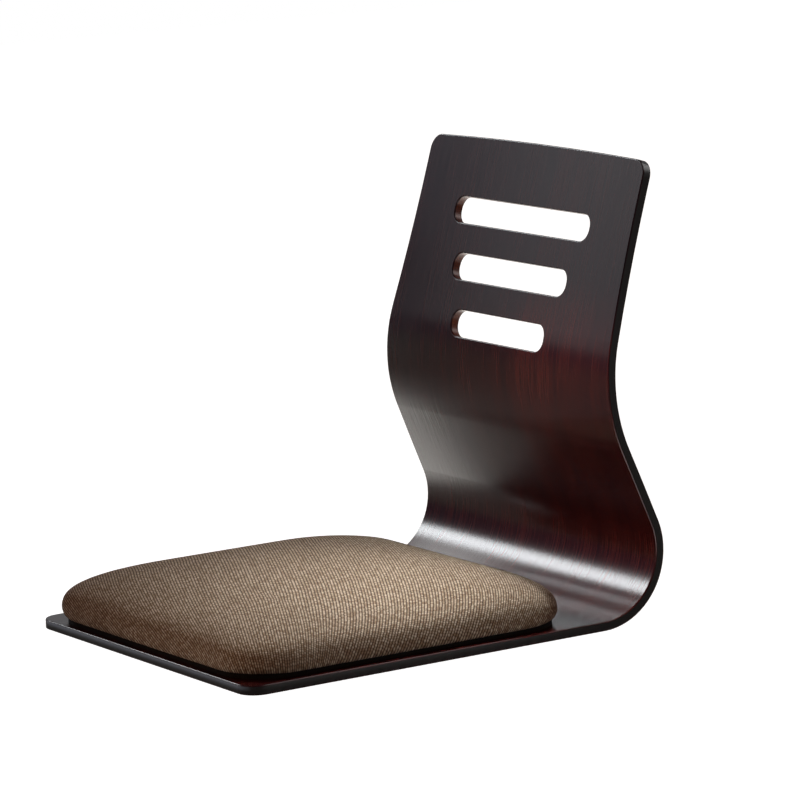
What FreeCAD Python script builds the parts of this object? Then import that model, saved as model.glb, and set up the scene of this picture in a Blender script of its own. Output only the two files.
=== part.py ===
import FreeCAD, Part
import math
import os
import Sketcher

# Legless bentwood floor chair: a moulded shell of glued veneers with a fixed seat cushion.
# +X is across the chair, the front edge faces -Y, +Z is up, and the floor is z = 0.

SIZES = [
    ("seat_run", 403, "flat seat, from the front edge to the start of the bend"),
    ("bend_radius", 63, "seat bend, on the sitting side"),
    ("bend_turn", 112.6, "degrees turned by the seat bend"),
    ("waist_run", 78.5, "straight between the bend and the lumbar curve"),
    ("lumbar_radius", 160, "lumbar curve, on the sitting side"),
    ("lumbar_turn", 39.9, "degrees turned back by the lumbar curve"),
    ("back_run", 181, "straight above the lumbar curve, up to the crown of the top edge"),
    ("ply_thickness", 1.35, "one veneer"),
    ("seat_width", 400, "shell across the seat and the bend"),
    ("back_taper", 16.5, "narrowing of each side of the back towards its top"),
    ("taper_margin", 31, "crown of the top edge to the start of the side curve"),
    ("taper_drop", 330, "length of the side curve"),
    ("top_crown", 3, "rise of the top edge in the middle"),
    ("top_corner", 16, "radius of the top corners"),
    ("front_corner", 20, "radius of the front corners"),
    ("arris_radius", 1.1, "easing of the shell's outer edges"),
    ("slot_height", 27, "each hand slot"),
    ("slot_flat", 2, "straight part of the slots' ends"),
    ("slot_pitch", 57, "slot centre to slot centre"),
    ("slot_margin", 76, "crown of the top edge to the top slot's centre"),
    ("top_slot_length", 232, "longest slot"),
    ("middle_slot_length", 196, "middle slot"),
    ("bottom_slot_length", 160, "shortest slot"),
    ("cushion_height", 59, "crown of the cushion above the shell"),
    ("cushion_corner", 54, "radius of the cushion's corners"),
    ("cushion_front_margin", 1, "front edge of the shell to the cushion"),
    ("cushion_side_margin", 4, "side edges of the shell to the cushion"),
    ("cushion_rear_margin", 25, "cushion to the start of the bend"),
    ("cover_thickness", 1.2, "upholstery fabric"),
    ("cover_ease", 0.3, "clearance between the cover and the padding"),
    ("wadding_thickness", 4, "polyester wadding over the foam"),
    ("board_thickness", 9, "plywood seat board inside the cushion"),
    ("board_inset", 8.5, "edge of the seat board inside the cushion's widest line"),
    ("hem_width", 30, "fabric turned under the seat board"),
    ("hem_gap", 2, "gap between the hem and the dust cloth"),
    ("dust_cloth_thickness", 0.6, "non-woven cloth under the seat board"),
    ("staple_crown", 10, "width of a staple"),
    ("staple_leg", 6, "length of a staple's legs"),
    ("staple_wire", 0.7, "staple wire"),
    ("staple_end", 48, "first staple of a row from the corner of the seat board"),
    ("staple_inset", 16, "staples from the edge of the seat board"),
    ("screw_inset", 80, "screws inside the cushion's widest line"),
    ("screw_radius", 3, "machine screw shank"),
    ("screw_length", 16, "shank below the head"),
    ("screw_head_radius", 5.4, "machine screw head"),
    ("screw_head_height", 2.6, "machine screw head"),
    ("socket_radius", 2.3, "hex socket, corner radius"),
    ("socket_depth", 1.7, "hex socket"),
    ("washer_radius", 7, "plain washer"),
    ("washer_thickness", 1.2, "plain washer"),
    ("hole_ease", 0.3, "clearance of screws in washers, veneers and cloth"),
    ("fit_ease", 0.05, "clearance of the screws in the nuts and of the nuts in the board"),
    ("nut_flange_radius", 9, "flanged insert nut"),
    ("nut_flange_thickness", 1.2, "flanged insert nut"),
    ("nut_barrel_radius", 4, "flanged insert nut"),
    ("nut_barrel_length", 7.5, "flanged insert nut, under its flange"),
    ("pad_radius", 15, "felt floor pad"),
    ("pad_thickness", 2, "felt floor pad"),
    ("pad_inset", 45, "floor pads' centres from the shell's edges and the bend"),
    ("overrun", 30, "every cut reaches this far past what it cuts"),
]
PLY_COUNT = 7
COUNTERBORED_PLIES = 3
STAPLES_ACROSS = 8
STAPLES_ALONG = 7
SAME_PLACE = 0.001

# Cushion outline: share of the crown's height, how far the sides are drawn in there as a share
# of half the cushion's shorter side, and how far the corners have widened from the cushion's own
# radius, at 0, to the crown's, at 1. The crown's radius is a share of half the section there.
SECTION_SHARES = [
    (0.0, 0.040, 0.0),
    (0.085, 0.020, 0.0),
    (0.230, 0.0, 0.0),
    (0.424, 0.0075, 0.01),
    (0.614, 0.0625, 0.08),
    (0.809, 0.230, 0.37),
    (0.924, 0.465, 0.87),
    (0.978, 0.690, 1.0),
    (1.0, 0.870, 1.0),
]
CROWN_CORNER_SHARE = 0.86


class Dim:
    """A size with its value and the expression that ties it to the spreadsheet."""

    def __init__(self, value, text):
        self.value = value
        self.text = text

    def __add__(self, other):
        other = number(other)
        return Dim(self.value + other.value, f"({self.text} + {other.text})")

    def __sub__(self, other):
        other = number(other)
        return Dim(self.value - other.value, f"({self.text} - {other.text})")

    def __mul__(self, other):
        other = number(other)
        return Dim(self.value * other.value, f"({self.text} * {other.text})")

    def __truediv__(self, other):
        other = number(other)
        return Dim(self.value / other.value, f"({self.text} / {other.text})")

    def __neg__(self):
        return Dim(-self.value, f"(-1 * {self.text})")


def number(value):
    return value if isinstance(value, Dim) else Dim(value, repr(value))


def sine(turn):
    return Dim(math.sin(math.radians(turn.value)), f"sin({turn.text})")


def cosine(turn):
    return Dim(math.cos(math.radians(turn.value)), f"cos({turn.text})")


def smaller(one, other):
    return Dim(min(one.value, other.value), f"min({one.text}; {other.text})")


doc = FreeCAD.newDocument("FloorChair")
sheet = doc.addObject("Spreadsheet::Sheet", "Sizes")
for row, (alias, value, note) in enumerate(SIZES, start=1):
    sheet.set(f"A{row}", note)
    sheet.set(f"B{row}", str(value))
    sheet.setAlias(f"B{row}", alias)
doc.recompute()


def size(alias):
    return Dim(float(sheet.get(alias)), f"Sizes.{alias}")


zero = Dim(0.0, "0")
overrun = size("overrun")
shell_thickness = size("ply_thickness") * PLY_COUNT
underside = size("pad_thickness")
seat_top = underside + shell_thickness
half_seat = size("seat_width") / 2
half_back = half_seat - size("back_taper")

# The shell's side view, along its sitting side: seat, bend, waist, lumbar curve and back.
bend_turn = size("bend_turn")
back_slope = bend_turn - size("lumbar_turn")
waist_start_y = size("bend_radius") * sine(bend_turn)
waist_end_y = waist_start_y + size("waist_run") * cosine(bend_turn)
waist_end_z = size("bend_radius") * (number(1) - cosine(bend_turn)) + size("waist_run") * sine(bend_turn)
lumbar_centre_y = waist_end_y + size("lumbar_radius") * sine(bend_turn)
lumbar_centre_z = waist_end_z - size("lumbar_radius") * cosine(bend_turn)
back_start_y = lumbar_centre_y - size("lumbar_radius") * sine(back_slope)
back_start_z = lumbar_centre_z + size("lumbar_radius") * cosine(back_slope)
back_end_y = back_start_y + size("back_run") * cosine(back_slope)
depth = size("seat_run") + back_end_y + shell_thickness * sine(back_slope)
front = -depth / 2
bend_start = front + size("seat_run")
reach = depth + size("back_run") * 2 + size("waist_run") * 2

cushion_half_width = half_seat - size("cushion_side_margin")
cushion_front = front + size("cushion_front_margin")
cushion_half_depth = (bend_start - size("cushion_rear_margin") - cushion_front) / 2
cushion_centre = cushion_front + cushion_half_depth
cushion_reach = smaller(cushion_half_width, cushion_half_depth)


def newBody(name):
    body = doc.addObject("PartDesign::Body", name)
    body.Label = name
    return body


def newSketch(body, name, plane, lift=None):
    sketch = body.newObject("Sketcher::SketchObject", name)
    support = [item for item in body.Origin.OriginFeatures if item.Role == plane][0]
    sketch.AttachmentSupport = [(support, "")]
    sketch.MapMode = "FlatFace"
    if lift is not None:
        sketch.AttachmentOffset = FreeCAD.Placement(
            FreeCAD.Vector(0, 0, lift.value), FreeCAD.Rotation()
        )
        sketch.setExpression(".AttachmentOffset.Base.z", lift.text)
    return sketch


def tiltToBack(sketch):
    """Lay a sketch of the XZ plane on the sitting side of the back's straight part."""
    across = FreeCAD.Vector(-1, 0, 0)
    lean = number(90) - back_slope
    height = seat_top + back_start_z
    rearward = bend_start + back_start_y
    sketch.AttachmentOffset = FreeCAD.Placement(
        FreeCAD.Vector(0, height.value, -rearward.value),
        FreeCAD.Rotation(across, lean.value),
    )
    sketch.setExpression(".AttachmentOffset.Base.y", height.text)
    sketch.setExpression(".AttachmentOffset.Base.z", (-rearward).text)
    sketch.setExpression(".AttachmentOffset.Rotation.Angle", lean.text)


def lock(sketch, kind, places, dim):
    value = math.radians(dim.value) if kind == "Angle" else dim.value
    index = sketch.addConstraint(Sketcher.Constraint(kind, *places, value))
    sketch.setExpression(f"Constraints[{index}]", dim.text)


def tie(sketch, kind, *places):
    sketch.addConstraint(Sketcher.Constraint(kind, *places))


def line(sketch, start, end):
    return sketch.addGeometry(
        Part.LineSegment(FreeCAD.Vector(*start, 0), FreeCAD.Vector(*end, 0))
    )


def arc(sketch, centre, radius, start, end):
    circle = Part.Circle(FreeCAD.Vector(*centre, 0), FreeCAD.Vector(0, 0, 1), radius)
    return sketch.addGeometry(Part.ArcOfCircle(circle, math.radians(start), math.radians(end)))


def point(centre, radius, angle):
    turn = math.radians(angle)
    return (centre[0] + radius * math.cos(turn), centre[1] + radius * math.sin(turn))


def roundedRectangle(sketch, half_x, low_y, high_y, radius):
    """A rectangle with rounded corners, centred across."""
    x, low, high, r = half_x.value, low_y.value, high_y.value, radius.value
    bottom = line(sketch, (-x + r, low), (x - r, low))
    right = line(sketch, (x, low + r), (x, high - r))
    top = line(sketch, (x - r, high), (-x + r, high))
    left = line(sketch, (-x, high - r), (-x, low + r))
    corners = [
        arc(sketch, (x - r, low + r), r, -90, 0),
        arc(sketch, (x - r, high - r), r, 0, 90),
        arc(sketch, (-x + r, high - r), r, 90, 180),
        arc(sketch, (-x + r, low + r), r, 180, 270),
    ]
    sides = [bottom, right, top, left]
    for index, corner in enumerate(corners):
        tie(sketch, "Tangent", sides[index], 2, corner, 1)
        tie(sketch, "Tangent", corner, 2, sides[(index + 1) % 4], 1)
    for side in (bottom, top):
        tie(sketch, "Horizontal", side)
    for side in (right, left):
        tie(sketch, "Vertical", side)
    for corner in corners[1:]:
        tie(sketch, "Equal", corners[0], corner)
    lock(sketch, "Radius", (corners[0],), radius)
    lock(sketch, "DistanceX", (-1, 1, right, 1), half_x)
    lock(sketch, "DistanceX", (left, 1, -1, 1), half_x)
    lock(sketch, "DistanceY", (-1, 1, bottom, 1), low_y)
    lock(sketch, "DistanceY", (-1, 1, top, 1), high_y)


def plainFrame(sketch, half_x, low_y, high_y):
    """The outer rectangle of a cut that keeps what lies inside its inner outline."""
    x, low, high = half_x.value, low_y.value, high_y.value
    corners = [(-x, low), (x, low), (x, high), (-x, high)]
    sides = [line(sketch, corners[i], corners[(i + 1) % 4]) for i in range(4)]
    for index, side in enumerate(sides):
        tie(sketch, "Coincident", side, 2, sides[(index + 1) % 4], 1)
    for side, way in zip(sides, ("Horizontal", "Vertical", "Horizontal", "Vertical")):
        tie(sketch, way, side)
    lock(sketch, "DistanceX", (-1, 1, sides[0], 2), half_x)
    lock(sketch, "DistanceX", (sides[0], 1, -1, 1), half_x)
    lock(sketch, "DistanceY", (-1, 1, sides[0], 1), low_y)
    lock(sketch, "DistanceY", (-1, 1, sides[2], 1), high_y)


def pad(body, name, sketch, length, symmetric=False):
    feature = body.newObject("PartDesign::Pad", name)
    feature.Profile = sketch
    feature.SideType = "Symmetric" if symmetric else "One side"
    feature.setExpression("Length", length.text)
    return feature


def pocket(body, name, sketch, length):
    """A cut that reaches half its length to each side of its sketch."""
    feature = body.newObject("PartDesign::Pocket", name)
    feature.Profile = sketch
    feature.SideType = "Symmetric"
    feature.setExpression("Length", length.text)
    return feature


def sideChain(sketch, offset):
    """The shell's side view at a depth below the sitting side, as tangent lines and arcs."""
    y, z = front.value - overrun.value, seat_top.value
    bend, lumbar = size("bend_radius"), size("lumbar_radius")
    turn, slope = bend_turn.value, back_slope.value
    bend_centre = (bend_start.value, z + bend.value)
    lumbar_centre = (
        (bend_start + lumbar_centre_y).value,
        (seat_top + lumbar_centre_z).value,
    )
    outer_bend, inner_lumbar = bend + offset, lumbar - offset
    waist_low = point(bend_centre, outer_bend.value, turn - 90)
    waist_high = point(lumbar_centre, inner_lumbar.value, turn + 90)
    back_low = point(lumbar_centre, inner_lumbar.value, slope + 90)
    back_high = point(back_low, (size("back_run") + overrun).value, slope)
    seat = line(sketch, (y, z - offset.value), (bend_centre[0], z - offset.value))
    bend_arc = arc(sketch, bend_centre, outer_bend.value, -90, turn - 90)
    waist = line(sketch, waist_low, waist_high)
    lumbar_arc = arc(sketch, lumbar_centre, inner_lumbar.value, slope + 90, turn + 90)
    back = line(sketch, back_low, back_high)
    tie(sketch, "Tangent", seat, 2, bend_arc, 1)
    tie(sketch, "Tangent", bend_arc, 2, waist, 1)
    tie(sketch, "Tangent", waist, 2, lumbar_arc, 2)
    tie(sketch, "Tangent", lumbar_arc, 1, back, 1)
    tie(sketch, "Horizontal", seat)
    lock(sketch, "Radius", (bend_arc,), outer_bend)
    lock(sketch, "Radius", (lumbar_arc,), inner_lumbar)
    return seat, bend_arc, waist, lumbar_arc, back


def plySketch(body, near, far):
    """One veneer from the side, between two depths below the sitting side."""
    sketch = newSketch(body, body.Name + "_side", "YZ_Plane")
    near_chain = sideChain(sketch, near)
    far_chain = sideChain(sketch, far)
    seat, bend_arc, waist, lumbar_arc, back = near_chain
    tie(sketch, "Coincident", bend_arc, 3, far_chain[1], 3)
    tie(sketch, "Coincident", lumbar_arc, 3, far_chain[3], 3)
    tie(sketch, "Parallel", back, far_chain[4])
    lock(sketch, "DistanceX", (-1, 1, seat, 1), front - overrun)
    lock(sketch, "DistanceY", (-1, 1, seat, 1), seat_top - near)
    lock(sketch, "Distance", (seat,), size("seat_run") + overrun)
    lock(sketch, "Distance", (waist,), size("waist_run"))
    lock(sketch, "Distance", (back,), size("back_run") + overrun)
    lock(sketch, "Angle", (waist,), bend_turn)
    lock(sketch, "Angle", (back,), back_slope)
    ends = []
    for side, place in ((0, 1), (4, 2)):
        tips = [sketch.getPoint(chain[side], place) for chain in (near_chain, far_chain)]
        ends.append(line(sketch, (tips[0].x, tips[0].y), (tips[1].x, tips[1].y)))
        tie(sketch, "Coincident", ends[-1], 1, near_chain[side], place)
        tie(sketch, "Coincident", ends[-1], 2, far_chain[side], place)
    tie(sketch, "Vertical", ends[0])
    tie(sketch, "Perpendicular", ends[1], back)
    return sketch


def planSketch(body):
    """Keeps the seat's plan: straight sides and rounded front corners."""
    sketch = newSketch(body, body.Name + "_plan", "XY_Plane")
    rear = -front + overrun
    x, low, high, r = half_seat.value, front.value, rear.value, size("front_corner").value
    edge = line(sketch, (-x + r, low), (x - r, low))
    right = line(sketch, (x, low + r), (x, high))
    far_edge = line(sketch, (x, high), (-x, high))
    left = line(sketch, (-x, high), (-x, low + r))
    right_corner = arc(sketch, (x - r, low + r), r, -90, 0)
    left_corner = arc(sketch, (-x + r, low + r), r, 180, 270)
    tie(sketch, "Tangent", edge, 2, right_corner, 1)
    tie(sketch, "Tangent", right_corner, 2, right, 1)
    tie(sketch, "Coincident", right, 2, far_edge, 1)
    tie(sketch, "Coincident", far_edge, 2, left, 1)
    tie(sketch, "Tangent", left, 2, left_corner, 1)
    tie(sketch, "Tangent", left_corner, 2, edge, 1)
    for side in (edge, far_edge):
        tie(sketch, "Horizontal", side)
    for side in (right, left):
        tie(sketch, "Vertical", side)
    tie(sketch, "Equal", right_corner, left_corner)
    lock(sketch, "Radius", (right_corner,), size("front_corner"))
    lock(sketch, "DistanceX", (-1, 1, right, 1), half_seat)
    lock(sketch, "DistanceX", (left, 1, -1, 1), half_seat)
    lock(sketch, "DistanceY", (-1, 1, edge, 1), front)
    lock(sketch, "DistanceY", (-1, 1, far_edge, 1), rear)
    plainFrame(sketch, half_seat + overrun, front - overrun * 2, rear + overrun)
    return sketch


def backSketch(body):
    """Keeps the back's outline: crowned top, rounded corners and sides that curve inwards."""
    sketch = newSketch(body, body.Name + "_back", "XZ_Plane")
    tiltToBack(sketch)
    run, corner = size("back_run"), size("top_corner")
    curve_high = size("back_run") - size("taper_margin")
    curve_low = curve_high - size("taper_drop")
    foot = -(size("back_run") + size("waist_run") + size("seat_run"))
    step = (half_seat - half_back).value
    drop = size("taper_drop").value
    sweep = (drop**2 + step**2) / (4 * step)
    swing = math.degrees(math.atan2(drop / 2, sweep - step / 2))
    middle = (half_back.value + step / 2, (curve_high.value + curve_low.value) / 2)
    crown_radius = crownRadius()
    rise = crown_radius.value
    r = corner.value
    crown_centre = (0.0, run.value - rise)
    reach_x = half_back.value - r
    corner_y = crown_centre[1] + math.sqrt((rise - r) ** 2 - reach_x**2)
    tip = math.degrees(math.atan2(corner_y - crown_centre[1], reach_x))
    crown_arc = arc(sketch, crown_centre, rise, tip, 180 - tip)
    sides = []
    for sign in (1, -1):
        x, wide = half_back.value, half_seat.value
        right = sign > 0
        corner_centre = (sign * reach_x, corner_y)
        spans = (0, tip) if right else (180 - tip, 180)
        corner_arc = arc(sketch, corner_centre, r, *spans)
        upper = line(sketch, (sign * x, corner_y), (sign * x, curve_high.value))
        upper_centre = (sign * (x + sweep), curve_high.value)
        lower_centre = (sign * (wide - sweep), curve_low.value)
        if right:
            upper_arc = arc(sketch, upper_centre, sweep, 180, 180 + swing)
            lower_arc = arc(sketch, lower_centre, sweep, 0, swing)
        else:
            upper_arc = arc(sketch, upper_centre, sweep, -swing, 0)
            lower_arc = arc(sketch, lower_centre, sweep, 180 - swing, 180)
        lower = line(sketch, (sign * wide, curve_low.value), (sign * wide, foot.value))
        near, far = (1, 2) if right else (2, 1)
        tie(sketch, "Tangent", crown_arc, near, corner_arc, far)
        tie(sketch, "Tangent", corner_arc, near, upper, 1)
        tie(sketch, "Tangent", upper, 2, upper_arc, near)
        tie(sketch, "Tangent", upper_arc, far, lower_arc, far)
        tie(sketch, "Tangent", lower_arc, near, lower, 1)
        tie(sketch, "Vertical", upper)
        tie(sketch, "Vertical", lower)
        tie(sketch, "Equal", upper_arc, lower_arc)
        lock(sketch, "Radius", (corner_arc,), corner)
        lock(sketch, "DistanceY", (-1, 1, upper, 2), curve_high)
        lock(sketch, "DistanceY", (-1, 1, lower, 1), curve_low)
        for side, half in ((upper, half_back), (lower, half_seat)):
            places = (-1, 1, side, 1) if right else (side, 1, -1, 1)
            lock(sketch, "DistanceX", places, half)
        sides.append(lower)
    base = line(sketch, (half_seat.value, foot.value), (-half_seat.value, foot.value))
    tie(sketch, "Coincident", sides[0], 2, base, 1)
    tie(sketch, "Coincident", base, 2, sides[1], 2)
    tie(sketch, "Horizontal", base)
    lock(sketch, "DistanceY", (-1, 1, base, 1), foot)
    tie(sketch, "PointOnObject", crown_arc, 3, -2)
    lock(sketch, "Radius", (crown_arc,), crown_radius)
    lock(sketch, "DistanceY", (-1, 1, crown_arc, 3), run - crown_radius)
    plainFrame(sketch, half_seat + overrun, foot - overrun, run + overrun * 2)
    return sketch


def crownRadius():
    """The circle through the crown and, without rounded corners, the two top corners."""
    crown = size("top_crown")
    return (half_back * half_back + crown * crown) / (crown * 2)


def slotSketch(body):
    sketch = newSketch(body, body.Name + "_slots", "XZ_Plane")
    tiltToBack(sketch)
    centre = size("back_run") - size("slot_margin")
    corner = (size("slot_height") - size("slot_flat")) / 2
    for name in ("top_slot_length", "middle_slot_length", "bottom_slot_length"):
        half_height = size("slot_height") / 2
        roundedRectangle(
            sketch, size(name) / 2, centre - half_height, centre + half_height, corner
        )
        centre = centre - size("slot_pitch")
    return sketch


def screwPlaces():
    """Screws stand on a rectangle about the cushion's centre."""
    across = cushion_half_width - size("screw_inset")
    along = cushion_half_depth - size("screw_inset")
    return [
        (side, cushion_centre + way)
        for side in (-across, across)
        for way in (-along, along)
    ]


def holeSketch(body, radius):
    sketch = newSketch(body, body.Name + "_holes", "XY_Plane")
    circles(sketch, screwPlaces(), radius)
    return sketch


def rimEdges(shape, on_face):
    """Names of the edges round an outer face of the shell, without the seams across it."""
    names = []
    for index, edge in enumerate(shape.Edges, start=1):
        middle = edge.valueAt((edge.FirstParameter + edge.LastParameter) / 2)
        span = edge.BoundBox
        level = span.YLength < SAME_PLACE and span.ZLength < SAME_PLACE
        seam = level and span.XLength > half_back.value
        at_front = abs(middle.y - front.value) < SAME_PLACE
        if on_face(middle) and (at_front or not seam):
            names.append(f"Edge{index}")
    return names


def sideDepth(place):
    """How far a point lies below the sitting side, measured square to the shell."""
    bend, lumbar = size("bend_radius").value, size("lumbar_radius").value
    y, z = place.y - bend_start.value, place.z - seat_top.value
    if y <= 0 and z < bend:
        return -z
    turn, slope = math.radians(bend_turn.value), math.radians(back_slope.value)
    past_bend_y, past_bend_z = y - waist_start_y.value, z - bend * (1 - math.cos(turn))
    along_waist = past_bend_y * math.cos(turn) + past_bend_z * math.sin(turn)
    if along_waist < 0:
        return math.hypot(y, z - bend) - bend
    if along_waist < size("waist_run").value:
        return past_bend_y * math.sin(turn) - past_bend_z * math.cos(turn)
    up_back_y, up_back_z = y - back_start_y.value, z - back_start_z.value
    if up_back_y * math.cos(slope) + up_back_z * math.sin(slope) < 0:
        return lumbar - math.hypot(y - lumbar_centre_y.value, z - lumbar_centre_z.value)
    return up_back_y * math.sin(slope) - up_back_z * math.cos(slope)


def onSurface(depth):
    """A test for points above the floor that lie on the shell's surface at this depth."""
    return lambda place: place.z > 0 and abs(sideDepth(place) - depth) < SAME_PLACE


def shellPly(number_from_front):
    """A full veneer, formed, trimmed to the outline, slotted and drilled."""
    rear_number = PLY_COUNT - number_from_front
    name = f"core_ply_{number_from_front + 1}"
    if number_from_front == 0:
        name = "front_face_ply"
    if rear_number == 1:
        name = "rear_face_ply"
    near = size("ply_thickness") * number_from_front
    far = size("ply_thickness") * (number_from_front + 1)
    body = newBody(name)
    pad(body, name + "_formed", plySketch(body, near, far), size("seat_width") + overrun, True)
    pocket(body, name + "_trim_seat", planSketch(body), reach * 2)
    pocket(body, name + "_trim_back", backSketch(body), reach * 2)
    pocket(body, name + "_cut_slots", slotSketch(body), (shell_thickness + overrun / 2) * 2)
    counterbored = rear_number <= COUNTERBORED_PLIES
    hole = size("washer_radius") if counterbored else size("screw_radius")
    holes = holeSketch(body, hole + size("hole_ease"))
    drilled = pocket(body, name + "_drill", holes, seat_top * 2 + overrun)
    doc.recompute()
    outer = {0: zero, PLY_COUNT - 1: shell_thickness}.get(number_from_front)
    if outer is not None:
        eased = body.newObject("PartDesign::Fillet", name + "_eased")
        eased.Base = (drilled, rimEdges(drilled.Shape, onSurface(outer.value)))
        eased.setExpression("Radius", size("arris_radius").text)
        doc.recompute()


def cushionSection(body, name, lift, inset, corner):
    sketch = newSketch(body, name, "XY_Plane", lift)
    roundedRectangle(
        sketch,
        cushion_half_width - inset,
        cushion_centre - cushion_half_depth + inset,
        cushion_centre + cushion_half_depth - inset,
        corner,
    )
    return sketch


def cushionLoft(body, name, kind, inward, foot):
    """The cushion's crowned form, drawn inwards by one distance on its sides and top."""
    crown = size("cushion_height") - inward - foot
    sections = []
    for index, (height_share, inset_share, widening) in enumerate(SECTION_SHARES):
        lift = seat_top + foot + crown * height_share
        drawn_in = cushion_reach * inset_share
        own_share = size("cushion_corner") / cushion_reach
        rounding = own_share + (number(CROWN_CORNER_SHARE) - own_share) * widening
        inset = drawn_in + inward
        corner = (cushion_reach - drawn_in) * rounding - inward
        sections.append(cushionSection(body, f"{name}_{index}", lift, inset, corner))
    loft = body.newObject(kind, name)
    loft.Profile = sections[0]
    loft.Sections = sections[1:]
    return loft


def flatPanel(body, name, lift, thickness, inset, radius):
    """A flat rounded panel centred under the cushion."""
    sketch = newSketch(body, name + "_outline", "XY_Plane", lift)
    roundedRectangle(
        sketch,
        cushion_half_width - inset,
        cushion_centre - cushion_half_depth + inset,
        cushion_centre + cushion_half_depth - inset,
        radius,
    )
    return pad(body, name, sketch, thickness)


cover = size("cover_thickness")
ease = size("cover_ease")
wadding_inward = cover + ease
foam_inward = wadding_inward + size("wadding_thickness")
board_low = seat_top + cover
board_high = board_low + size("board_thickness")
board_inset = size("board_inset") + cover + ease
board_corner = size("cushion_corner") - board_inset
window_inset = board_inset + size("hem_width")
cloth_inset = window_inset + size("hem_gap")
window_corner = size("cushion_corner") / 2
washer_high = underside + size("ply_thickness") * COUNTERBORED_PLIES
washer_low = washer_high - size("washer_thickness")
screw_hole = size("screw_radius") + size("hole_ease")
nut_bore = size("screw_radius") + size("fit_ease")
nut_hole = size("nut_barrel_radius") + size("fit_ease")
nut_recess = size("nut_flange_radius") + size("fit_ease")
flange_low = board_high - size("nut_flange_thickness")
barrel_low = flange_low - size("nut_barrel_length")


def cutBelow(body, name, level):
    """Takes away everything of the cushion's form under a level."""
    sketch = newSketch(body, name + "_outline", "XY_Plane", level)
    plainFrame(
        sketch,
        cushion_half_width + overrun,
        cushion_centre - cushion_half_depth - overrun,
        cushion_centre + cushion_half_depth + overrun,
    )
    feature = body.newObject("PartDesign::Pocket", name)
    feature.Profile = sketch
    feature.SideType = "One side"
    feature.setExpression("Length", (size("cushion_height") + overrun).text)


def circles(sketch, places, radius):
    """Equal circles at several places of a sketch."""
    first = None
    for x, y in places:
        centre = FreeCAD.Vector(x.value, y.value, 0)
        ring = sketch.addGeometry(Part.Circle(centre, FreeCAD.Vector(0, 0, 1), radius.value))
        lock(sketch, "DistanceX", (-1, 1, ring, 3), x)
        lock(sketch, "DistanceY", (-1, 1, ring, 3), y)
        if first is None:
            first = ring
            lock(sketch, "Radius", (ring,), radius)
        else:
            tie(sketch, "Equal", first, ring)


def discs(body, name, places, lift, height, radius, bore=None):
    """Equal discs or rings standing on one level."""
    sketch = newSketch(body, name + "_outline", "XY_Plane", lift)
    circles(sketch, places, radius)
    if bore is not None:
        circles(sketch, places, bore)
    return pad(body, name, sketch, height)


def bore(body, name, places, lift, height, radius):
    """Equal round holes that start at one level and go down."""
    sketch = newSketch(body, name + "_outline", "XY_Plane", lift)
    circles(sketch, places, radius)
    feature = body.newObject("PartDesign::Pocket", name)
    feature.Profile = sketch
    feature.SideType = "One side"
    feature.setExpression("Length", height.text)


def stapleSketch(body, name, plane, beside, middle):
    """A staple from the side: its crown in the hem and its legs up into the board."""
    sketch = newSketch(body, name, plane, beside)
    half, wire = size("staple_crown") / 2, size("staple_wire")
    low, high = seat_top, seat_top + size("staple_leg")
    across = [middle - half, middle - half + wire, middle + half - wire, middle + half]
    up = [low, low + wire, high]
    path = [(0, 0), (3, 0), (3, 2), (2, 2), (2, 1), (1, 1), (1, 2), (0, 2)]
    corners = [(across[i].value, up[j].value) for i, j in path]
    sides = [line(sketch, corners[n - 1], corners[n]) for n in range(len(path))]
    for n, side in enumerate(sides):
        tie(sketch, "Coincident", sides[n - 1], 2, side, 1)
        tie(sketch, "Vertical" if n % 2 == 0 else "Horizontal", side)
    for n in (0, 2, 4, 6):
        i, _ = path[n]
        lock(sketch, "DistanceX", (-1, 1, sides[n], 2), across[i])
    for n in (1, 3, 5):
        _, j = path[n]
        lock(sketch, "DistanceY", (-1, 1, sides[n], 2), up[j])
    lock(sketch, "DistanceY", (-1, 1, sides[7], 2), high)
    return sketch


def stapleRows(body, kind):
    """Four rows of staples round the hem, or the same rows cut out of what they hold."""
    half_x = cushion_half_width - board_inset
    half_y = cushion_half_depth - board_inset
    row_x, row_y = half_x - size("staple_inset"), half_y - size("staple_inset")
    end_x, end_y = half_x - size("staple_end"), half_y - size("staple_end")
    axes = {item.Role: item for item in body.Origin.OriginFeatures}
    rows = [
        ("across", "XZ_Plane", row_y - cushion_centre, -end_x, end_x * 2, STAPLES_ACROSS, row_y * 2, 2),
        ("along", "YZ_Plane", -row_x, cushion_centre - end_y, row_x * 2, 2, end_y * 2, STAPLES_ALONG),
    ]
    for way, plane, beside, middle, span_x, count_x, span_y, count_y in rows:
        name = f"{body.Name}_staples_{way}"
        feature = body.newObject("PartDesign::" + kind, name)
        feature.Profile = stapleSketch(body, name + "_side", plane, beside, middle)
        feature.SideType = "Symmetric"
        feature.setExpression("Length", size("staple_wire").text)
        rows_of = body.newObject("PartDesign::LinearPattern", name + "_rows")
        rows_of.Originals = [feature]
        rows_of.Direction = (axes["X_Axis"], [""])
        rows_of.Occurrences = count_x
        rows_of.setExpression("Length", span_x.text)
        rows_of.Direction2 = (axes["Y_Axis"], [""])
        rows_of.Occurrences2 = count_y
        rows_of.setExpression("Length2", span_y.text)
        body.Tip = rows_of


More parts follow.
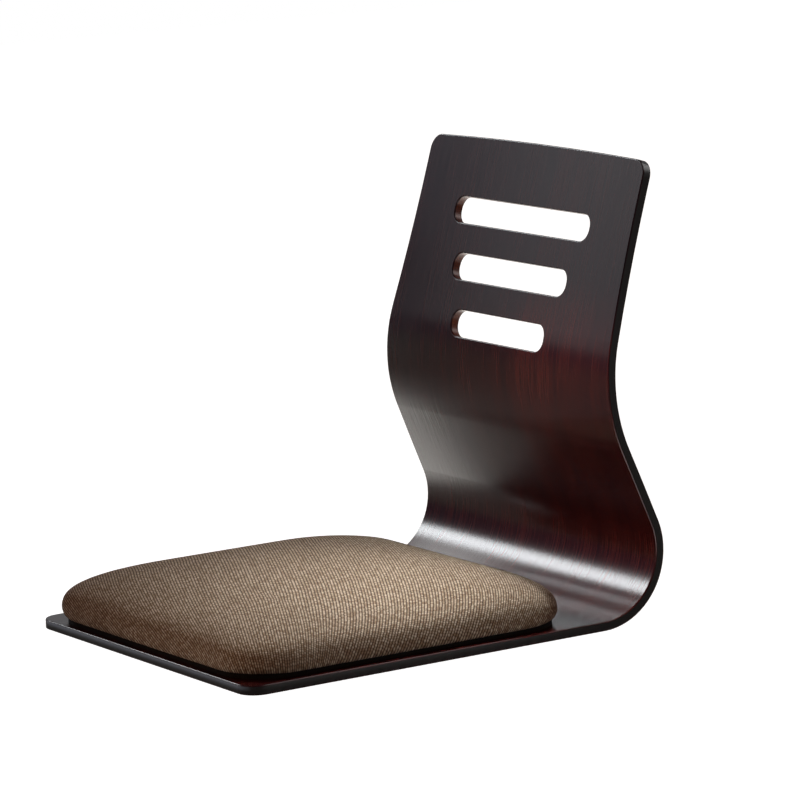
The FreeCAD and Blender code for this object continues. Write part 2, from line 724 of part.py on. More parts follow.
def cushionCover():
    """Fabric over the crown, drawn in at the sides and turned under the seat board."""
    body = newBody("cushion_cover")
    cushionLoft(body, "cover_outside", "PartDesign::AdditiveLoft", zero, zero)
    cushionLoft(body, "cover_inside", "PartDesign::SubtractiveLoft", cover, cover)
    sketch = newSketch(body, "hem_window", "XY_Plane", seat_top)
    roundedRectangle(
        sketch,
        cushion_half_width - window_inset,
        cushion_centre - cushion_half_depth + window_inset,
        cushion_centre + cushion_half_depth - window_inset,
        window_corner,
    )
    pocket(body, "hem_opening", sketch, cover * 4)
    stapleRows(body, "Pocket")


def wadding():
    body = newBody("wadding")
    cushionLoft(body, "wadding_outside", "PartDesign::AdditiveLoft", wadding_inward, cover)
    cushionLoft(body, "wadding_inside", "PartDesign::SubtractiveLoft", foam_inward, cover)
    cutBelow(body, "wadding_foot", board_high)


def foamPad():
    body = newBody("foam_pad")
    cushionLoft(body, "foam", "PartDesign::AdditiveLoft", foam_inward, cover)
    cutBelow(body, "foam_foot", board_high)


def seatBoard():
    body = newBody("seat_board")
    flatPanel(body, "board", board_low, size("board_thickness"), board_inset, board_corner)
    places = screwPlaces()
    bore(body, "nut_recesses", places, board_high, size("nut_flange_thickness"), nut_recess)
    bore(body, "nut_holes", places, board_high, size("board_thickness") + overrun, nut_hole)
    stapleRows(body, "Pocket")


def dustCloth():
    body = newBody("dust_cloth")
    thickness = size("dust_cloth_thickness")
    flatPanel(body, "cloth", board_low - thickness, thickness, cloth_inset, window_corner)
    bore(body, "cloth_holes", screwPlaces(), board_low, thickness + overrun, screw_hole)


def coverStaples():
    stapleRows(newBody("cover_staples"), "Pad")


def insertNuts():
    body = newBody("insert_nuts")
    places = screwPlaces()
    flange, barrel = size("nut_flange_radius"), size("nut_barrel_radius")
    discs(body, "flanges", places, flange_low, size("nut_flange_thickness"), flange, nut_bore)
    discs(body, "barrels", places, barrel_low, size("nut_barrel_length"), barrel, nut_bore)


def hexagons(sketch, places, radius):
    """Equal hexagons at several places of a sketch, one corner on their +X side."""
    for x, y in places:
        centre = FreeCAD.Vector(x.value, y.value, 0)
        ring = sketch.addGeometry(Part.Circle(centre, FreeCAD.Vector(0, 0, 1), radius.value), True)
        lock(sketch, "DistanceX", (-1, 1, ring, 3), x)
        lock(sketch, "DistanceY", (-1, 1, ring, 3), y)
        lock(sketch, "Radius", (ring,), radius)
        corners = [point((x.value, y.value), radius.value, 60 * turn) for turn in range(6)]
        sides = [line(sketch, corners[n - 1], corners[n]) for n in range(6)]
        for n, side in enumerate(sides):
            tie(sketch, "Coincident", sides[n - 1], 2, side, 1)
            tie(sketch, "PointOnObject", side, 1, ring)
        for side in sides[1:]:
            tie(sketch, "Equal", sides[0], side)
        lock(sketch, "DistanceY", (-1, 1, sides[0], 2), y)


def mountingScrews():
    body = newBody("mounting_screws")
    places = screwPlaces()
    head_low = washer_low - size("screw_head_height")
    discs(body, "heads", places, head_low, size("screw_head_height"), size("screw_head_radius"))
    discs(body, "shanks", places, washer_low, size("screw_length"), size("screw_radius"))
    sketch = newSketch(body, "socket_outline", "XY_Plane", head_low)
    hexagons(sketch, places, size("socket_radius"))
    pocket(body, "sockets", sketch, size("socket_depth") * 2)


def screwWashers():
    body = newBody("screw_washers")
    thickness = size("washer_thickness")
    discs(body, "washers", screwPlaces(), washer_low, thickness, size("washer_radius"), screw_hole)


def floorPads():
    body = newBody("floor_pads")
    inset = size("pad_inset")
    across = half_seat - inset
    places = [(x, y) for x in (-across, across) for y in (front + inset, bend_start - inset)]
    discs(body, "pads", places, zero, size("pad_thickness"), size("pad_radius"))


for ply in range(PLY_COUNT):
    shellPly(ply)
for make in (
    cushionCover,
    wadding,
    foamPad,
    seatBoard,
    dustCloth,
    coverStaples,
    insertNuts,
    mountingScrews,
    screwWashers,
    floorPads,
):
    make()
doc.recompute()

for item in doc.Objects:
    if "Invalid" in item.State or "Error" in item.State:
        raise RuntimeError(f"{item.Label} did not build: {item.State}")

os.makedirs("parts", exist_ok=True)
for body in doc.findObjects("PartDesign::Body"):
    if body.Shape.isNull() or not body.Shape.isValid():
        raise RuntimeError(f"{body.Label} has no sound shape")
    body.Shape.exportStep(f"parts/{body.Label}.step")
    print(f"{body.Label}: {len(body.Shape.Solids)} solid(s), {body.Shape.Volume:.0f} cubic mm")
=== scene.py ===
import bpy
import bmesh
import math
from mathutils import Matrix, Vector


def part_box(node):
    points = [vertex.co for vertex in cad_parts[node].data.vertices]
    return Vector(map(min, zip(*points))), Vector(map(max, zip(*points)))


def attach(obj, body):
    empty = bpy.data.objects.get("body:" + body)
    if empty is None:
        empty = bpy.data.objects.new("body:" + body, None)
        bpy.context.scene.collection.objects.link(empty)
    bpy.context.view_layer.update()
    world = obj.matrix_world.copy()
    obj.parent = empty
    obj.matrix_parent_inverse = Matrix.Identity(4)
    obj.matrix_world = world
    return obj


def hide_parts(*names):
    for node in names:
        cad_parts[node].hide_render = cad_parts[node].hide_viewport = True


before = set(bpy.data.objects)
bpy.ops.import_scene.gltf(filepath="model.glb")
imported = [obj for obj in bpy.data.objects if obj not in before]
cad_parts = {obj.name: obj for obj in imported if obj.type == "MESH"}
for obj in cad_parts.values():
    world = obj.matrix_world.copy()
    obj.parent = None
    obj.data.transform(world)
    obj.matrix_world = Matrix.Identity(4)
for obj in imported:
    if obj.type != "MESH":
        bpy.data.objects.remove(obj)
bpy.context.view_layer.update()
scene = bpy.context.scene
scene.view_settings.view_transform = "Standard"
mixA, mixB, mixResult = 6, 7, 2  # a Mix node's colour sockets


# sRGB hex to the linear colour that nodes take.
def rgba(hexColour):
    channels = [int(hexColour[i:i + 2], 16) / 255 for i in (0, 2, 4)]
    linear = [c / 12.92 if c <= 0.04045 else ((c + 0.055) / 1.055) ** 2.4 for c in channels]
    return (*linear, 1.0)


def grey(level):
    return (level, level, level, 1.0)


def newMaterial(name):
    material = bpy.data.materials.new(name)
    material.use_nodes = True
    return material, material.node_tree.nodes["Principled BSDF"]


# Each input takes a value, or the node or socket that it is linked from.
def setInputs(node, inputs):
    for key, value in inputs.items():
        source = value.outputs[0] if isinstance(value, bpy.types.Node) else value
        if isinstance(source, bpy.types.NodeSocket):
            node.id_data.links.new(source, node.inputs[key])
        else:
            node.inputs[key].default_value = source


# Adds a node with its settings and inputs; stops are a colour ramp's (position, colour) pairs.
def addNode(tree, kind, inputs=None, stops=(), **settings):
    node = tree.nodes.new(kind)
    for name, value in settings.items():
        setattr(node, name, value)
    if stops:
        for element, (position, colour) in zip(node.color_ramp.elements, stops):
            element.position = position
            element.color = colour
    setInputs(node, inputs or {})
    return node


def addObject(name, data):
    item = bpy.data.objects.new(name, data)
    scene.collection.objects.link(item)
    return item


# The camera, with its angles in degrees.
cameraView = {
    "place": (3.6118, -2.2830, 0.9586),
    "azimuth": 57.0057,
    "elevation": 9.786,
    "roll": -2.1478,
    "lens": 200.306,
    "sensor": 36,
    "reach": 50,
}


def makeCamera(settings):
    azimuth, elevation, roll = (math.radians(settings[k]) for k in ("azimuth", "elevation", "roll"))
    level = Vector((math.cos(azimuth), math.sin(azimuth), 0))
    back = Vector((
        math.sin(azimuth) * math.cos(elevation),
        -math.cos(azimuth) * math.cos(elevation),
        math.sin(elevation),
    ))
    upright = back.cross(level)
    right = math.cos(roll) * level + math.sin(roll) * upright
    up = math.cos(roll) * upright - math.sin(roll) * level
    data = bpy.data.cameras.new("camera")
    data.sensor_width = settings["sensor"]
    data.lens = settings["lens"]
    data.clip_end = settings["reach"]
    camera = addObject("camera", data)
    turn = Matrix((right, up, back)).transposed().to_4x4()
    camera.matrix_world = Matrix.Translation(settings["place"]) @ turn
    scene.camera = camera


makeCamera(cameraView)
print("camera set")


# Hardwood veneer, stained espresso and sprayed with semi-gloss lacquer: near black with a red
# undertone, and pores along the grain, which runs from the front edge up to the top. Real pores
# are about 0.2 mm wide and are drawn coarser, so that they show.
veneer = {
    "dark": "200607",
    "light": "3c110c",
    "stops": (0.38, 0.66),
    "pores": (0.001923, 0.04167, 3.0),  # spacing across and along the grain, and detail
    "figure": (0.025, 0.5, 2.0),
    "figureShare": 0.5,
    "roughness": 0.225,
    "poreRoughness": 0.06,
    "poreDepth": 0.00009,
    "index": 1.3,
}


def makeVeneer(name, settings):
    material, shader = newMaterial(name)
    tree = material.node_tree
    place = addNode(tree, "ShaderNodeTexCoord").outputs["Object"]
    patterns = []
    for across, along, detail in (settings["pores"], settings["figure"]):
        stretched = addNode(tree, "ShaderNodeMapping", {
            "Vector": place, "Scale": (1 / across, 1 / along, 1 / along),
        })
        patterns.append(addNode(tree, "ShaderNodeTexNoise", {
            "Vector": stretched, "Scale": 1.0, "Detail": detail,
        }))
    pores, figure = patterns
    share = settings["figureShare"]
    broad = addNode(tree, "ShaderNodeMath", {0: figure, 1: share}, operation="MULTIPLY")
    mixed = addNode(tree, "ShaderNodeMath", {
        0: pores, 1: 1 - share, 2: broad,
    }, operation="MULTIPLY_ADD")
    darkStop, lightStop = settings["stops"]
    colour = addNode(tree, "ShaderNodeValToRGB", {"Fac": mixed}, [
        (darkStop, rgba(settings["dark"])), (lightStop, rgba(settings["light"])),
    ])
    spread = settings["poreRoughness"]
    rough = addNode(tree, "ShaderNodeMath", {
        0: pores, 1: spread, 2: settings["roughness"] - spread / 2,
    }, operation="MULTIPLY_ADD")
    bump = addNode(tree, "ShaderNodeBump", {
        "Height": pores, "Strength": 1.0, "Distance": settings["poreDepth"],
    })
    setInputs(shader, {
        "Base Color": colour,
        "Roughness": rough,
        "IOR": settings["index"],
        "Normal": bump,
    })
    return material


# The veneers' cut edges, stained and lacquered with the faces. Inside the slots the edges are painted a
# lighter red brown: painted light, standing in for the light that the slot walls catch.
plyEdge = {
    "dark": "0a0506",
    "light": "1c0d0b",
    # painted light: the lighter red browns of the slot walls
    "slotPaintedLitDark": "34130a",
    "slotPaintedLitLight": "8a4426",
    "stops": (0.3, 0.7),
    "fibre": 0.001111,
    "fibreDetail": 3.0,
    "slotReach": 0.14,  # from the middle, past the longest slot's ends
    "slotLevel": 0.2,  # below the lowest slot; the middle of the top edge takes the painted slot light too
    "roughness": 0.35,
    "index": 1.35,
}


def makePlyEdge(name, settings):
    material, shader = newMaterial(name)
    tree = material.node_tree
    place = addNode(tree, "ShaderNodeTexCoord").outputs["Object"]
    fibre = addNode(tree, "ShaderNodeTexNoise", {
        "Vector": place, "Scale": 1 / settings["fibre"], "Detail": settings["fibreDetail"],
    })
    axes = addNode(tree, "ShaderNodeSeparateXYZ", {"Vector": place})
    offCentre = addNode(tree, "ShaderNodeMath", {0: axes.outputs["X"]}, operation="ABSOLUTE")
    near = addNode(tree, "ShaderNodeMath", {
        0: offCentre, 1: settings["slotReach"],
    }, operation="LESS_THAN")
    high = addNode(tree, "ShaderNodeMath", {
        0: axes.outputs["Z"], 1: settings["slotLevel"],
    }, operation="GREATER_THAN")
    # where the painted light of the slots goes
    paintedLightMask = addNode(tree, "ShaderNodeMath", {0: near, 1: high}, operation="MULTIPLY")
    darkStop, lightStop = settings["stops"]
    outside = addNode(tree, "ShaderNodeValToRGB", {"Fac": fibre}, [
        (darkStop, rgba(settings["dark"])), (lightStop, rgba(settings["light"])),
    ])
    # painted light in the slots: a lighter red brown for the light the slot walls catch
    inside = addNode(tree, "ShaderNodeValToRGB", {"Fac": fibre}, [
        (darkStop, rgba(settings["slotPaintedLitDark"])), (lightStop, rgba(settings["slotPaintedLitLight"])),
    ])
    colour = addNode(tree, "ShaderNodeMix", {
        "Factor": paintedLightMask, mixA: outside, mixB: inside,
    }, data_type="RGBA")
    setInputs(shader, {
        "Base Color": colour.outputs[mixResult],
        "Roughness": settings["roughness"],
        "IOR": settings["index"],
    })
    return material


faceMaterial = makeVeneer("espresso stained veneer, semi-gloss lacquer", veneer)
edgeMaterial = makePlyEdge("stained ply edges, painted light in slots", plyEdge)
for node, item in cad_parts.items():
    if "ply" in node:
        chosen = faceMaterial if "face" in node else edgeMaterial
        for entry in item.material_slots:
            entry.material = chosen
print("shell finished")


# What is hidden or only seen from below: raw pale plywood, dark non-woven cloth, bright metal
# on the steel parts and pressed felt under the shell. The mottle of each is its grain in metres.
hiddenFinishes = {
    "raw birch plywood": {
        "nodes": ["seat_board"],
        "dark": "a98558", "light": "d3b583", "grain": 0.00833, "detail": 4.0,
        "roughness": 0.75, "metallic": 0.0, "specular": 0.5,
    },
    "black non-woven cloth": {
        "nodes": ["dust_cloth"],
        "dark": "0d0d0f", "light": "24242a", "grain": 0.00067, "detail": 4.0,
        "roughness": 0.95, "metallic": 0.0, "specular": 0.5,
    },
    "galvanised wire": {
        "nodes": ["cover_staples"],
        "dark": "8b8d90", "light": "c3c6ca", "grain": 0.0025, "detail": 4.0,
        "roughness": 0.35, "metallic": 1.0, "specular": 0.5,
    },
    "zinc plated steel": {
        "nodes": ["insert_nuts", "mounting_screws", "screw_washers"],
        "dark": "8f9195", "light": "c9ccd0", "grain": 0.00333, "detail": 4.0,
        "roughness": 0.3, "metallic": 1.0, "specular": 0.5,
    },
    "dark brown felt": {
        "nodes": ["floor_pads"],
        "dark": "160e0a", "light": "3a2a20", "grain": 0.00056, "detail": 4.0,
        "roughness": 1.0, "metallic": 0.0, "specular": 0.5,
    },
}
mottleStops = (0.3, 0.7)


# Two close shades in a fine mottle, for surfaces without a direction.
def makeMottled(name, settings):
    material, shader = newMaterial(name)
    tree = material.node_tree
    place = addNode(tree, "ShaderNodeTexCoord").outputs["Object"]
    mottle = addNode(tree, "ShaderNodeTexNoise", {
        "Vector": place, "Scale": 1 / settings["grain"], "Detail": settings["detail"],
    })
    darkStop, lightStop = mottleStops
    colour = addNode(tree, "ShaderNodeValToRGB", {"Fac": mottle}, [
        (darkStop, rgba(settings["dark"])), (lightStop, rgba(settings["light"])),
    ])
    setInputs(shader, {
        "Base Color": colour,
        "Roughness": settings["roughness"],
        "Metallic": settings["metallic"],
        "Specular IOR Level": settings["specular"],
    })
    return material


for name, finish in hiddenFinishes.items():
    finishMaterial = makeMottled(name, finish)
    for node in finish["nodes"]:
        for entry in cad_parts[node].material_slots:
            entry.material = finishMaterial
print("hidden parts finished")


# Seat cushion: twill cover over foam on a board, crowned, with its lower edge drawn in. The
# foot is that edge, as pairs of height and inset.
cushion = {
    "height": 0.0585,
    "bulgeHeight": 0.0128,  # where the sides stand out furthest
    "foot": [(0.0026, 0.0098), (0.0032, 0.0052), (0.0050, 0.0022), (0.0082, 0.0006)],
    "sidePower": 2.98,  # a higher power makes a squarer profile
    "crownPower": 2.1,
    "crownReach": 0.985,  # how far in the crown is modelled, as a share of the half depth
    "cornerRadius": 0.054,
    "crownCornerShare": 0.86,  # corner radius near the crown, as a share of the half depth
    "cornerRun": 0.55,  # how far in the corners take that share
    "profileSteps": 36,
    "stepEase": 1.15,  # above 1, the steps lie closer towards the crown
    "ringPoints": 200,
    "shrink": 0.0005,  # keeps the blown up cover inside its solid
    "voxel": 0.004,
    "pressure": 4,
    "clothQuality": 5,
    "clothFrames": 20,
    "swell": 0.0012,  # how far the air may move the cover
    "smoothing": 0.5,
    "smoothRounds": 8,
    "footSmoothing": 0.1,
    "foldRadius": 0.1,  # how far in from the sides the weave is folded about
    "foldEase": 0.015,  # the drop over which the fold sets in
    "foldLeast": 0.01,
}


# The cover's middle on the shell, and half its width and depth.
def cushionSite():
    low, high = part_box("cushion_cover")
    middle = Vector(((low[0] + high[0]) / 2, (low[1] + high[1]) / 2, low[2]))
    return middle, (high[0] - low[0]) / 2, (high[1] - low[1]) / 2


# Points round a rounded rectangle, evenly spread over its sides and corners.
def roundedRing(halfX, halfY, radius, count):
    roundest = 0.98  # the share of a half side that a corner may take
    tiny = 1e-12
    radius = min(radius, halfX * roundest, halfY * roundest)
    straightX, straightY = halfX - radius, halfY - radius
    corner = radius * math.pi / 2
    runs = [2 * straightY, corner, 2 * straightX, corner] * 2
    total = sum(runs)
    starts = [sum(runs[:i]) for i in range(len(runs))]
    points = []
    for step in range(count):
        along = total * step / count
        part = max(i for i in range(len(runs)) if starts[i] <= along + tiny)
        gone = along - starts[part]
        quarter, isCorner = part // 2, part % 2
        if isCorner:
            turn = gone / radius + quarter * math.pi / 2
            centreX = straightX * (1, -1, -1, 1)[quarter]
            centreY = straightY * (1, 1, -1, -1)[quarter]
            points.append((centreX + radius * math.cos(turn), centreY + radius * math.sin(turn)))
        else:
            points.append((
                (halfX, straightX - gone, -halfX, -straightX + gone)[quarter],
                (-straightY + gone, halfY, straightY - gone, -halfY)[quarter],
            ))
    return points


# Walls between the rings and a cap at each end, facing outwards. Each ring is its height and
# its points about the middle.
def loftPiece(name, middle, rings):
    form = bmesh.new()
    levels = []
    for height, ring in rings:
        levels.append([form.verts.new((middle.x + x, middle.y + y, middle.z + height)) for x, y in ring])
    for lower, upper in zip(levels, levels[1:]):
        for i in range(len(lower)):
            j = (i + 1) % len(lower)
            form.faces.new((lower[i], lower[j], upper[j], upper[i]))
    form.faces.new(list(reversed(levels[0])))
    form.faces.new(levels[-1])
    mesh = bpy.data.meshes.new(name)
    form.to_mesh(mesh)
    form.free()
    return addObject(name, mesh)


# (height, inset) pairs from the foot, round the bulge, to the crown.
def cushionProfile(settings, half):
    bulge, top, steps = settings["bulgeHeight"], settings["height"], settings["profileSteps"]
    pairs = list(settings["foot"])
    for step in range(steps):
        share = math.sin(step / (steps - 1) * math.pi / 2)
        share = 1 - (1 - share) ** settings["stepEase"]
        sweep = (1 - share ** settings["sidePower"]) ** (1 / settings["crownPower"])
        inset = (1 - sweep) * half * settings["crownReach"]
        pairs.append((bulge + (top - bulge) * share, inset))
    return pairs


def cushionForm(name, settings):
    middle, halfX, halfY = cushionSite()
    shrink = settings["shrink"]
    halfX -= shrink
    halfY -= shrink
    rings = []
    for height, inset in cushionProfile(settings, halfY):
        widening = max(0.0, min(1.0, inset / (halfY * settings["cornerRun"])))
        share = settings["cornerRadius"] / halfY
        share += (settings["crownCornerShare"] - share) * widening
        radius = (halfY - inset) * share
        level = height * (1 - shrink / settings["height"])
        rings.append((level, roundedRing(halfX - inset, halfY - inset, radius, settings["ringPoints"])))
    return loftPiece(name, middle, rings)


# Turns the piece's modifiers, at this frame, into its mesh.
def applyModifiers(piece):
    graph = bpy.context.evaluated_depsgraph_get()
    mesh = bpy.data.meshes.new_from_object(piece.evaluated_get(graph))
    piece.modifiers.clear()
    piece.data = mesh


# Remeshes evenly, blows the cover up a little and caps how far it moves.
def inflate(piece, settings):
    remesh = piece.modifiers.new("even mesh", "REMESH")
    remesh.mode = "VOXEL"
    remesh.voxel_size = settings["voxel"]
    applyModifiers(piece)
    before = [v.co.copy() for v in piece.data.vertices]
    footLevel = min(c.z for c in before)
    cloth = piece.modifiers.new("inflate", "CLOTH")
    cloth.settings.use_pressure = True
    cloth.settings.uniform_pressure_force = settings["pressure"]
    cloth.settings.effector_weights.gravity = 0
    cloth.settings.quality = settings["clothQuality"]
    cloth.point_cache.frame_start = 1
    cloth.point_cache.frame_end = settings["clothFrames"]
    for number in range(1, settings["clothFrames"] + 1):
        scene.frame_set(number)
    applyModifiers(piece)
    scene.frame_set(1)
    aboveFoot = piece.vertex_groups.new(name="above the foot")
    for vertex, start in zip(piece.data.vertices, before):
        move = vertex.co - start
        if move.length > settings["swell"]:
            move = move.normalized() * settings["swell"]
        vertex.co = start + move
        vertex.co.z = max(vertex.co.z, footLevel)
        weight = (vertex.co.z - footLevel) / settings["bulgeHeight"]
        weight = max(settings["footSmoothing"], min(1.0, weight))
        aboveFoot.add([vertex.index], weight, "REPLACE")
    smooth = piece.modifiers.new("even out", "SMOOTH")
    smooth.factor = settings["smoothing"]
    smooth.iterations = settings["smoothRounds"]
    smooth.vertex_group = aboveFoot.name
    subdivision = piece.modifiers.new("fine", "SUBSURF")
    subdivision.levels = 1
    subdivision.render_levels = 1
    applyModifiers(piece)


# A UV map in metres: the crown stays flat and each side is folded out from it.
def unroll(piece, settings):
    middle, halfX, halfY = cushionSite()
    mesh = piece.data
    top = max(v.co.z for v in mesh.vertices)
    reachX = halfX - settings["foldRadius"]
    reachY = halfY - settings["foldRadius"]
    layer = mesh.uv_layers.new(name="weave")
    flat = []
    for vertex in mesh.vertices:
        x, y = vertex.co.x - middle.x, vertex.co.y - middle.y
        outX = x - max(-reachX, min(reachX, x))
        outY = y - max(-reachY, min(reachY, y))
        out = max(math.hypot(outX, outY), settings["foldLeast"])
        drop = top - vertex.co.z
        folded = drop * drop / (drop + settings["foldEase"]) / out
        flat.append((x + outX * folded, y + outY * folded))
    for loop in mesh.loops:
        layer.data[loop.index].uv = flat[loop.vertex_index]


# Upholstery twill of brown and beige yarns: steep ribs about 3 mm apart, broken into short floats, matt
# with a little sheen from the fibres. The gaps between the ribs are painted darker than either yarn:
# painted shade in the gaps.
twill = {
    # painted shade: the dark colour in the gaps between the ribs
    "gap": "34241a",
    "yarn": "8a7059",
    "paleYarn": "b8a18a",
    "yarnStops": (0.15, 0.95),
    "pitch": 0.0030,
    "float": 0.0027,
    "ribTurn": -26.0,
    "ribSwing": 0.5,  # half the height between a rib's top and the gap beside it
    "floatSwing": 0.3,
    "ribDepth": 0.0004,
    "relief": 0.8,
    "gapPower": 0.7,  # a lower power makes narrower gaps
    "wander": 0.54,  # how far a rib strays, in ribs
    "wanderSize": 0.003846,
    "wanderDetail": 2.0,
    "roughness": 0.95,
    "specular": 0.06,
    "sheen": 0.03,
    "sheenRoughness": 0.6,
}


def makeTwill(name, settings):
    material, shader = newMaterial(name)
    tree = material.node_tree
    flat = addNode(tree, "ShaderNodeUVMap", uv_map="weave")
    turned = addNode(tree, "ShaderNodeMapping", {
        "Vector": flat, "Rotation": (0, 0, math.radians(-settings["ribTurn"])),
    })
    axes = addNode(tree, "ShaderNodeSeparateXYZ", {"Vector": turned})
    noise = addNode(tree, "ShaderNodeTexNoise", {
        "Vector": flat, "Scale": 1 / settings["wanderSize"], "Detail": settings["wanderDetail"],
    })
    wander = addNode(tree, "ShaderNodeMath", {0: noise, 1: settings["wander"]}, operation="MULTIPLY")
    across = addNode(tree, "ShaderNodeMath", {
        0: axes.outputs["Y"], 1: 1 / settings["pitch"], 2: wander,
    }, operation="MULTIPLY_ADD")
    row = addNode(tree, "ShaderNodeMath", {0: across}, operation="FLOOR")
    rowShift = addNode(tree, "ShaderNodeTexWhiteNoise", {"W": row}, noise_dimensions="1D")
    length = addNode(tree, "ShaderNodeMath", {
        0: axes.outputs["X"], 1: settings["float"],
    }, operation="DIVIDE")
    along = addNode(tree, "ShaderNodeMath", {0: length, 1: rowShift}, operation="ADD")
    waves = []
    for cells, swing in ((across, settings["ribSwing"]), (along, settings["floatSwing"])):
        fromMiddle = addNode(tree, "ShaderNodeMath", {0: cells, 1: 0.5}, operation="SUBTRACT")
        angle = addNode(tree, "ShaderNodeMath", {0: fromMiddle, 1: 2 * math.pi}, operation="MULTIPLY")
        cosine = addNode(tree, "ShaderNodeMath", {0: angle}, operation="COSINE")
        waves.append(addNode(tree, "ShaderNodeMath", {
            0: cosine, 1: swing, 2: 1 - swing,
        }, operation="MULTIPLY_ADD"))
    height = addNode(tree, "ShaderNodeMath", {0: waves[0], 1: waves[1]}, operation="MULTIPLY")
    place = addNode(tree, "ShaderNodeMath", {0: along}, operation="FLOOR")
    cell = addNode(tree, "ShaderNodeCombineXYZ", {"X": row, "Y": place})
    pick = addNode(tree, "ShaderNodeTexWhiteNoise", {"Vector": cell}, noise_dimensions="3D")
    firstStop, lastStop = settings["yarnStops"]
    yarn = addNode(tree, "ShaderNodeValToRGB", {"Fac": pick}, [
        (firstStop, rgba(settings["yarn"])), (lastStop, rgba(settings["paleYarn"])),
    ])
    # the lower the weave, the more of the painted gap shade shows
    shown = addNode(tree, "ShaderNodeMath", {0: height, 1: settings["gapPower"]}, operation="POWER")
    colour = addNode(tree, "ShaderNodeMix", {
        "Factor": shown, mixA: rgba(settings["gap"]), mixB: yarn,
    }, data_type="RGBA")
    bump = addNode(tree, "ShaderNodeBump", {
        "Height": height, "Strength": settings["relief"], "Distance": settings["ribDepth"],
    })
    setInputs(shader, {
        "Base Color": colour.outputs[mixResult],
        "Normal": bump,
        "Roughness": settings["roughness"],
        "Specular IOR Level": settings["specular"],
        "Sheen Weight": settings["sheen"],
        "Sheen Roughness": settings["sheenRoughness"],
    })
    return material


cover = cushionForm("cushionCover", cushion)
inflate(cover, cushion)
unroll(cover, cushion)
for polygon in cover.data.polygons:
    polygon.use_smooth = True
cover.data.materials.append(makeTwill("brown and beige upholstery twill", twill))
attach(cover, "root")
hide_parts("cushion_cover", "wadding", "foam_pad")
print("cushion made", len(cover.data.polygons))


# The cover's hem under the board, set back so that it stays in shadow, and painted near black: painted
# shade for the dark gap under the cushion, quite matt.
hemBand = {
    "inset": 0.0078,
    "height": 0.0065,
    "points": 160,
    # painted shade: the hem's near black colours
    "dark": "0a0706",
    "light": "1a120d",
    "grain": 0.00143,
    "detail": 2.0,
    "roughness": 0.95,
    "metallic": 0.0,
    "specular": 0.1,
}


def makeHem(name, settings, cornerRadius):
    middle, halfX, halfY = cushionSite()
    inset = settings["inset"]
    ring = roundedRing(halfX - inset, halfY - inset, cornerRadius - inset, settings["points"])
    return loftPiece(name, middle, [(0.0, ring), (settings["height"], ring)])


hem = makeHem("cushionHem", hemBand, cushion["cornerRadius"])
hem.data.materials.append(makeMottled("hem painted near black as shade", hemBand))
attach(hem, "root")
print("hem made")


# Pale floor that the camera sees as white. For the lacquer the floor is a glow, painted light seen only
# in reflections: dim, with one bright part beside the chair, behind a slanting line on which y is slope
# * x + start; the line is a painted shadow of the chair.
stage = {
    "half": 6.0,
    "albedo": 0.4,
    "roughness": 0.9,
    "cameraGlow": 1.05,
    # painted shadow of the chair on the glow that the lacquer mirrors
    "shadowLine": (0.413, 0.288),
    "shadowEdge": (-0.03, 0.02),  # from before the line to behind it
    "brightMiddle": (-0.2, 0.15, 0.0),
    "brightReach": (0.5, 0.75),
    "brightTint": "fffdf7",
    "brightGlow": 3.3,
    "shadeGlow": 0.25,
}


def flatCard(name, left, right, near, far, level, material):
    corners = [(left, near, level), (right, near, level), (right, far, level), (left, far, level)]
    mesh = bpy.data.meshes.new(name)
    mesh.from_pydata(corners, [], [(0, 1, 2, 3)])
    mesh.materials.append(material)
    return addObject(name, mesh)


def makeFloor(settings):
    material, shader = newMaterial("pale matt floor")
    tree = material.node_tree
    path = addNode(tree, "ShaderNodeLightPath")
    seen = addNode(tree, "ShaderNodeMath", {
        0: path.outputs["Is Camera Ray"], 1: settings["cameraGlow"],
    }, operation="MULTIPLY")
    setInputs(shader, {
        "Base Color": grey(settings["albedo"]),
        "Roughness": settings["roughness"],
        "Specular IOR Level": 0.0,
        "Emission Color": grey(1.0),
        "Emission Strength": seen,
    })
    place = addNode(tree, "ShaderNodeTexCoord").outputs["Object"]
    axes = addNode(tree, "ShaderNodeSeparateXYZ", {"Vector": place})
    slope, start = settings["shadowLine"]
    slanted = addNode(tree, "ShaderNodeMath", {
        0: axes.outputs["X"], 1: -slope, 2: axes.outputs["Y"],
    }, operation="MULTIPLY_ADD")
    beyond = addNode(tree, "ShaderNodeMath", {0: slanted, 1: start}, operation="SUBTRACT")
    near, far = settings["shadowEdge"]
    shade = settings["shadeGlow"]
    glow = addNode(tree, "ShaderNodeMapRange", {
        "Value": beyond, "From Min": near, "From Max": far,
        "To Min": shade, "To Max": settings["brightGlow"],
    }, interpolation_type="SMOOTHSTEP")
    away = addNode(tree, "ShaderNodeVectorMath", {
        0: place, 1: settings["brightMiddle"],
    }, operation="DISTANCE")
    inner, outer = settings["brightReach"]
    within = addNode(tree, "ShaderNodeMapRange", {
        "Value": away.outputs["Value"], "From Min": inner, "From Max": outer,
        "To Min": 1.0, "To Max": 0.0,
    })
    extra = addNode(tree, "ShaderNodeMath", {0: glow, 1: shade}, operation="SUBTRACT")
    strength = addNode(tree, "ShaderNodeMath", {
        0: extra, 1: within, 2: shade,
    }, operation="MULTIPLY_ADD")
    # painted light: the floor glows for glossy rays only
    mirrored = addNode(tree, "ShaderNodeEmission", {
        "Color": rgba(settings["brightTint"]), "Strength": strength,
    })
    surface = addNode(tree, "ShaderNodeMixShader", {
        "Fac": path.outputs["Is Glossy Ray"], 1: shader, 2: mirrored,
    })
    setInputs(tree.nodes["Material Output"], {"Surface": surface})
    half = settings["half"]
    floor = flatCard("floor", -half, half, -half, half, 0, material)


